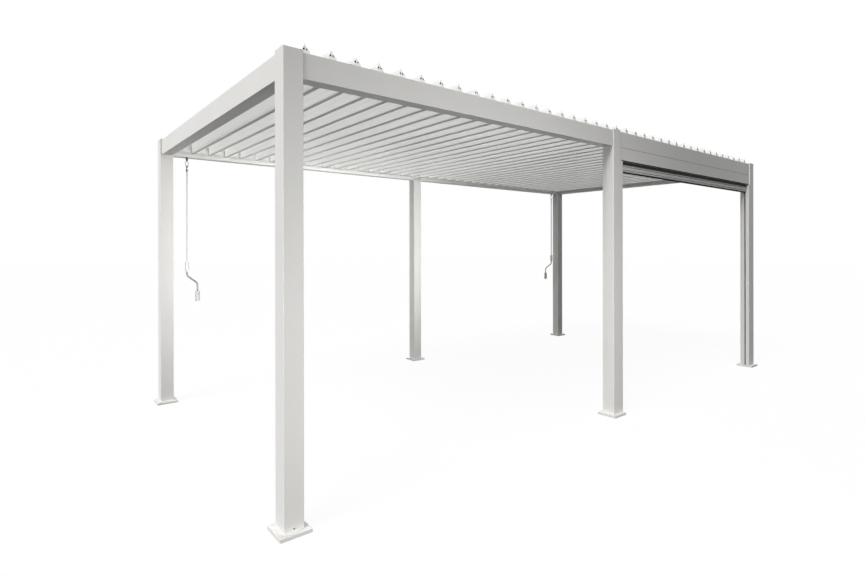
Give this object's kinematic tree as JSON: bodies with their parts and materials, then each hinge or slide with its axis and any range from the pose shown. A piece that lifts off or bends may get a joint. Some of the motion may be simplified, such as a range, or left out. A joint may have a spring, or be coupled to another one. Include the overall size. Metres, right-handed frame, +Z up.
{
  "type": "louvred pergola",
  "caption": "Free-standing aluminium garden pergola with square posts on foot plates, gutter beams, a roof of tilting louvre blades, hanging crank handles and a raised roller blind in one bay.",
  "frame": {"origin": "middle of the footprint, on the ground under the foot plates", "axes": "+X along the long side, +Y from the blind side to the crank side, +Z up"},
  "size_m": [6.062, 3.062, 2.5418],
  "materials": {
    "powder_coated_aluminium": "white powder coat, fine satin",
    "louvre_coating": "white powder coat, smooth satin",
    "bearing_nylon": "moulded natural nylon",
    "gearbox_casting": "dark painted die casting",
    "crank_steel": "light grey coated steel rod",
    "grip_plastic": "moulded plastic",
    "screen_mesh": "woven coated mesh"
  },
  "bodies": {
    "frame": {"post_front_left": "powder_coated_aluminium", "post_front_middle": "powder_coated_aluminium", "post_front_right": "powder_coated_aluminium", "post_back_left": "powder_coated_aluminium", "post_back_middle": "powder_coated_aluminium", "post_back_right": "powder_coated_aluminium", "front_beams": "powder_coated_aluminium", "back_beams": "powder_coated_aluminium", "side_beams": "powder_coated_aluminium", "post_caps": "powder_coated_aluminium", "foot_plates": "powder_coated_aluminium", "bearing_strips": "bearing_nylon", "crank_gearboxes": "gearbox_casting", "blind_cassette": "powder_coated_aluminium", "blind_guides": "powder_coated_aluminium", "blind_bottom_bar": "powder_coated_aluminium", "blind_screen": "screen_mesh"},
    "louvre_01": {"louvre_01": "louvre_coating"},
    "louvre_02": {"louvre_02": "louvre_coating"},
    "louvre_03": {"louvre_03": "louvre_coating"},
    "louvre_04": {"louvre_04": "louvre_coating"},
    "louvre_05": {"louvre_05": "louvre_coating"},
    "louvre_06": {"louvre_06": "louvre_coating"},
    "louvre_07": {"louvre_07": "louvre_coating"},
    "louvre_08": {"louvre_08": "louvre_coating"},
    "louvre_09": {"louvre_09": "louvre_coating"},
    "louvre_10": {"louvre_10": "louvre_coating"},
    "louvre_11": {"louvre_11": "louvre_coating"},
    "louvre_12": {"louvre_12": "louvre_coating"},
    "louvre_13": {"louvre_13": "louvre_coating"},
    "louvre_14": {"louvre_14": "louvre_coating"},
    "louvre_15": {"louvre_15": "louvre_coating"},
    "louvre_16": {"louvre_16": "louvre_coating"},
    "louvre_17": {"louvre_17": "louvre_coating"},
    "louvre_18": {"louvre_18": "louvre_coating"},
    "louvre_19": {"louvre_19": "louvre_coating"},
    "louvre_20": {"louvre_20": "louvre_coating"},
    "louvre_21": {"louvre_21": "louvre_coating"},
    "louvre_22": {"louvre_22": "louvre_coating"},
    "louvre_23": {"louvre_23": "louvre_coating"},
    "louvre_24": {"louvre_24": "louvre_coating"},
    "louvre_25": {"louvre_25": "louvre_coating"},
    "louvre_26": {"louvre_26": "louvre_coating"},
    "louvre_27": {"louvre_27": "louvre_coating"},
    "louvre_28": {"louvre_28": "louvre_coating"},
    "louvre_29": {"louvre_29": "louvre_coating"},
    "louvre_30": {"louvre_30": "louvre_coating"},
    "louvre_31": {"louvre_31": "louvre_coating"},
    "louvre_32": {"louvre_32": "louvre_coating"},
    "louvre_33": {"louvre_33": "louvre_coating"},
    "louvre_34": {"louvre_34": "louvre_coating"},
    "louvre_35": {"louvre_35": "louvre_coating"},
    "louvre_36": {"louvre_36": "louvre_coating"},
    "louvre_37": {"louvre_37": "louvre_coating"},
    "louvre_38": {"louvre_38": "louvre_coating"},
    "crank_left": {"crank_rod_left": "crank_steel", "crank_grips_left": "grip_plastic"},
    "crank_right": {"crank_rod_right": "crank_steel", "crank_grips_right": "grip_plastic"}
  },
  "joints": [
    {"name": "louvre_01_tilt", "type": "hinge", "parent": "frame", "child": "louvre_01", "pos_m": [-2.866, 0, 2.462], "axis": [0, -1, 0], "range_deg": [-81, 21]},
    {"name": "louvre_02_tilt", "type": "hinge", "parent": "frame", "child": "louvre_02", "pos_m": [-2.71108, 0, 2.462], "axis": [0, -1, 0], "range_deg": [-81, 21]},
    {"name": "louvre_03_tilt", "type": "hinge", "parent": "frame", "child": "louvre_03", "pos_m": [-2.55616, 0, 2.462], "axis": [0, -1, 0], "range_deg": [-81, 21]},
    {"name": "louvre_04_tilt", "type": "hinge", "parent": "frame", "child": "louvre_04", "pos_m": [-2.40124, 0, 2.462], "axis": [0, -1, 0], "range_deg": [-81, 21]},
    {"name": "louvre_05_tilt", "type": "hinge", "parent": "frame", "child": "louvre_05", "pos_m": [-2.24632, 0, 2.462], "axis": [0, -1, 0], "range_deg": [-81, 21]},
    {"name": "louvre_06_tilt", "type": "hinge", "parent": "frame", "child": "louvre_06", "pos_m": [-2.0914, 0, 2.462], "axis": [0, -1, 0], "range_deg": [-81, 21]},
    {"name": "louvre_07_tilt", "type": "hinge", "parent": "frame", "child": "louvre_07", "pos_m": [-1.93649, 0, 2.462], "axis": [0, -1, 0], "range_deg": [-81, 21]},
    {"name": "louvre_08_tilt", "type": "hinge", "parent": "frame", "child": "louvre_08", "pos_m": [-1.78157, 0, 2.462], "axis": [0, -1, 0], "range_deg": [-81, 21]},
    {"name": "louvre_09_tilt", "type": "hinge", "parent": "frame", "child": "louvre_09", "pos_m": [-1.62665, 0, 2.462], "axis": [0, -1, 0], "range_deg": [-81, 21]},
    {"name": "louvre_10_tilt", "type": "hinge", "parent": "frame", "child": "louvre_10", "pos_m": [-1.47173, 0, 2.462], "axis": [0, -1, 0], "range_deg": [-81, 21]},
    {"name": "louvre_11_tilt", "type": "hinge", "parent": "frame", "child": "louvre_11", "pos_m": [-1.31681, 0, 2.462], "axis": [0, -1, 0], "range_deg": [-81, 21]},
    {"name": "louvre_12_tilt", "type": "hinge", "parent": "frame", "child": "louvre_12", "pos_m": [-1.16189, 0, 2.462], "axis": [0, -1, 0], "range_deg": [-81, 21]},
    {"name": "louvre_13_tilt", "type": "hinge", "parent": "frame", "child": "louvre_13", "pos_m": [-1.00697, 0, 2.462], "axis": [0, -1, 0], "range_deg": [-81, 21]},
    {"name": "louvre_14_tilt", "type": "hinge", "parent": "frame", "child": "louvre_14", "pos_m": [-0.85205, 0, 2.462], "axis": [0, -1, 0], "range_deg": [-81, 21]},
    {"name": "louvre_15_tilt", "type": "hinge", "parent": "frame", "child": "louvre_15", "pos_m": [-0.69713, 0, 2.462], "axis": [0, -1, 0], "range_deg": [-81, 21]},
    {"name": "louvre_16_tilt", "type": "hinge", "parent": "frame", "child": "louvre_16", "pos_m": [-0.54222, 0, 2.462], "axis": [0, -1, 0], "range_deg": [-81, 21]},
    {"name": "louvre_17_tilt", "type": "hinge", "parent": "frame", "child": "louvre_17", "pos_m": [-0.3873, 0, 2.462], "axis": [0, -1, 0], "range_deg": [-81, 21]},
    {"name": "louvre_18_tilt", "type": "hinge", "parent": "frame", "child": "louvre_18", "pos_m": [-0.23238, 0, 2.462], "axis": [0, -1, 0], "range_deg": [-81, 21]},
    {"name": "louvre_19_tilt", "type": "hinge", "parent": "frame", "child": "louvre_19", "pos_m": [-0.07746, 0, 2.462], "axis": [0, -1, 0], "range_deg": [-81, 21]},
    {"name": "louvre_20_tilt", "type": "hinge", "parent": "frame", "child": "louvre_20", "pos_m": [0.07746, 0, 2.462], "axis": [0, -1, 0], "range_deg": [-81, 21]},
    {"name": "louvre_21_tilt", "type": "hinge", "parent": "frame", "child": "louvre_21", "pos_m": [0.23238, 0, 2.462], "axis": [0, -1, 0], "range_deg": [-81, 21]},
    {"name": "louvre_22_tilt", "type": "hinge", "parent": "frame", "child": "louvre_22", "pos_m": [0.3873, 0, 2.462], "axis": [0, -1, 0], "range_deg": [-81, 21]},
    {"name": "louvre_23_tilt", "type": "hinge", "parent": "frame", "child": "louvre_23", "pos_m": [0.54222, 0, 2.462], "axis": [0, -1, 0], "range_deg": [-81, 21]},
    {"name": "louvre_24_tilt", "type": "hinge", "parent": "frame", "child": "louvre_24", "pos_m": [0.69713, 0, 2.462], "axis": [0, -1, 0], "range_deg": [-81, 21]},
    {"name": "louvre_25_tilt", "type": "hinge", "parent": "frame", "child": "louvre_25", "pos_m": [0.85205, 0, 2.462], "axis": [0, -1, 0], "range_deg": [-81, 21]},
    {"name": "louvre_26_tilt", "type": "hinge", "parent": "frame", "child": "louvre_26", "pos_m": [1.00697, 0, 2.462], "axis": [0, -1, 0], "range_deg": [-81, 21]},
    {"name": "louvre_27_tilt", "type": "hinge", "parent": "frame", "child": "louvre_27", "pos_m": [1.16189, 0, 2.462], "axis": [0, -1, 0], "range_deg": [-81, 21]},
    {"name": "louvre_28_tilt", "type": "hinge", "parent": "frame", "child": "louvre_28", "pos_m": [1.31681, 0, 2.462], "axis": [0, -1, 0], "range_deg": [-81, 21]},
    {"name": "louvre_29_tilt", "type": "hinge", "parent": "frame", "child": "louvre_29", "pos_m": [1.47173, 0, 2.462], "axis": [0, -1, 0], "range_deg": [-81, 21]},
    {"name": "louvre_30_tilt", "type": "hinge", "parent": "frame", "child": "louvre_30", "pos_m": [1.62665, 0, 2.462], "axis": [0, -1, 0], "range_deg": [-81, 21]},
    {"name": "louvre_31_tilt", "type": "hinge", "parent": "frame", "child": "louvre_31", "pos_m": [1.78157, 0, 2.462], "axis": [0, -1, 0], "range_deg": [-81, 21]},
    {"name": "louvre_32_tilt", "type": "hinge", "parent": "frame", "child": "louvre_32", "pos_m": [1.93649, 0, 2.462], "axis": [0, -1, 0], "range_deg": [-81, 21]},
    {"name": "louvre_33_tilt", "type": "hinge", "parent": "frame", "child": "louvre_33", "pos_m": [2.0914, 0, 2.462], "axis": [0, -1, 0], "range_deg": [-81, 21]},
    {"name": "louvre_34_tilt", "type": "hinge", "parent": "frame", "child": "louvre_34", "pos_m": [2.24632, 0, 2.462], "axis": [0, -1, 0], "range_deg": [-81, 21]},
    {"name": "louvre_35_tilt", "type": "hinge", "parent": "frame", "child": "louvre_35", "pos_m": [2.40124, 0, 2.462], "axis": [0, -1, 0], "range_deg": [-81, 21]},
    {"name": "louvre_36_tilt", "type": "hinge", "parent": "frame", "child": "louvre_36", "pos_m": [2.55616, 0, 2.462], "axis": [0, -1, 0], "range_deg": [-81, 21]},
    {"name": "louvre_37_tilt", "type": "hinge", "parent": "frame", "child": "louvre_37", "pos_m": [2.71108, 0, 2.462], "axis": [0, -1, 0], "range_deg": [-81, 21]},
    {"name": "louvre_38_tilt", "type": "hinge", "parent": "frame", "child": "louvre_38", "pos_m": [2.866, 0, 2.462], "axis": [0, -1, 0], "range_deg": [-81, 21]},
    {"name": "crank_left_turn", "type": "hinge", "parent": "frame", "child": "crank_left", "pos_m": [-2.762, 1.4275, 2.25], "axis": [0, 0, 1], "continuous": true},
    {"name": "crank_right_turn", "type": "hinge", "parent": "frame", "child": "crank_right", "pos_m": [2.762, 1.4275, 2.25], "axis": [0, 0, 1], "continuous": true}
  ],
  "couplings": [
    {"joint": "louvre_02_tilt", "follows": "louvre_01_tilt", "ratio": 1},
    {"joint": "louvre_03_tilt", "follows": "louvre_01_tilt", "ratio": 1},
    {"joint": "louvre_04_tilt", "follows": "louvre_01_tilt", "ratio": 1},
    {"joint": "louvre_05_tilt", "follows": "louvre_01_tilt", "ratio": 1},
    {"joint": "louvre_06_tilt", "follows": "louvre_01_tilt", "ratio": 1},
    {"joint": "louvre_07_tilt", "follows": "louvre_01_tilt", "ratio": 1},
    {"joint": "louvre_08_tilt", "follows": "louvre_01_tilt", "ratio": 1},
    {"joint": "louvre_09_tilt", "follows": "louvre_01_tilt", "ratio": 1},
    {"joint": "louvre_10_tilt", "follows": "louvre_01_tilt", "ratio": 1},
    {"joint": "louvre_11_tilt", "follows": "louvre_01_tilt", "ratio": 1},
    {"joint": "louvre_12_tilt", "follows": "louvre_01_tilt", "ratio": 1},
    {"joint": "louvre_13_tilt", "follows": "louvre_01_tilt", "ratio": 1},
    {"joint": "louvre_14_tilt", "follows": "louvre_01_tilt", "ratio": 1},
    {"joint": "louvre_15_tilt", "follows": "louvre_01_tilt", "ratio": 1},
    {"joint": "louvre_16_tilt", "follows": "louvre_01_tilt", "ratio": 1},
    {"joint": "louvre_17_tilt", "follows": "louvre_01_tilt", "ratio": 1},
    {"joint": "louvre_18_tilt", "follows": "louvre_01_tilt", "ratio": 1},
    {"joint": "louvre_19_tilt", "follows": "louvre_01_tilt", "ratio": 1},
    {"joint": "louvre_20_tilt", "follows": "louvre_38_tilt", "ratio": 1},
    {"joint": "louvre_21_tilt", "follows": "louvre_38_tilt", "ratio": 1},
    {"joint": "louvre_22_tilt", "follows": "louvre_38_tilt", "ratio": 1},
    {"joint": "louvre_23_tilt", "follows": "louvre_38_tilt", "ratio": 1},
    {"joint": "louvre_24_tilt", "follows": "louvre_38_tilt", "ratio": 1},
    {"joint": "louvre_25_tilt", "follows": "louvre_38_tilt", "ratio": 1},
    {"joint": "louvre_26_tilt", "follows": "louvre_38_tilt", "ratio": 1},
    {"joint": "louvre_27_tilt", "follows": "louvre_38_tilt", "ratio": 1},
    {"joint": "louvre_28_tilt", "follows": "louvre_38_tilt", "ratio": 1},
    {"joint": "louvre_29_tilt", "follows": "louvre_38_tilt", "ratio": 1},
    {"joint": "louvre_30_tilt", "follows": "louvre_38_tilt", "ratio": 1},
    {"joint": "louvre_31_tilt", "follows": "louvre_38_tilt", "ratio": 1},
    {"joint": "louvre_32_tilt", "follows": "louvre_38_tilt", "ratio": 1},
    {"joint": "louvre_33_tilt", "follows": "louvre_38_tilt", "ratio": 1},
    {"joint": "louvre_34_tilt", "follows": "louvre_38_tilt", "ratio": 1},
    {"joint": "louvre_35_tilt", "follows": "louvre_38_tilt", "ratio": 1},
    {"joint": "louvre_36_tilt", "follows": "louvre_38_tilt", "ratio": 1},
    {"joint": "louvre_37_tilt", "follows": "louvre_38_tilt", "ratio": 1}
  ]
}
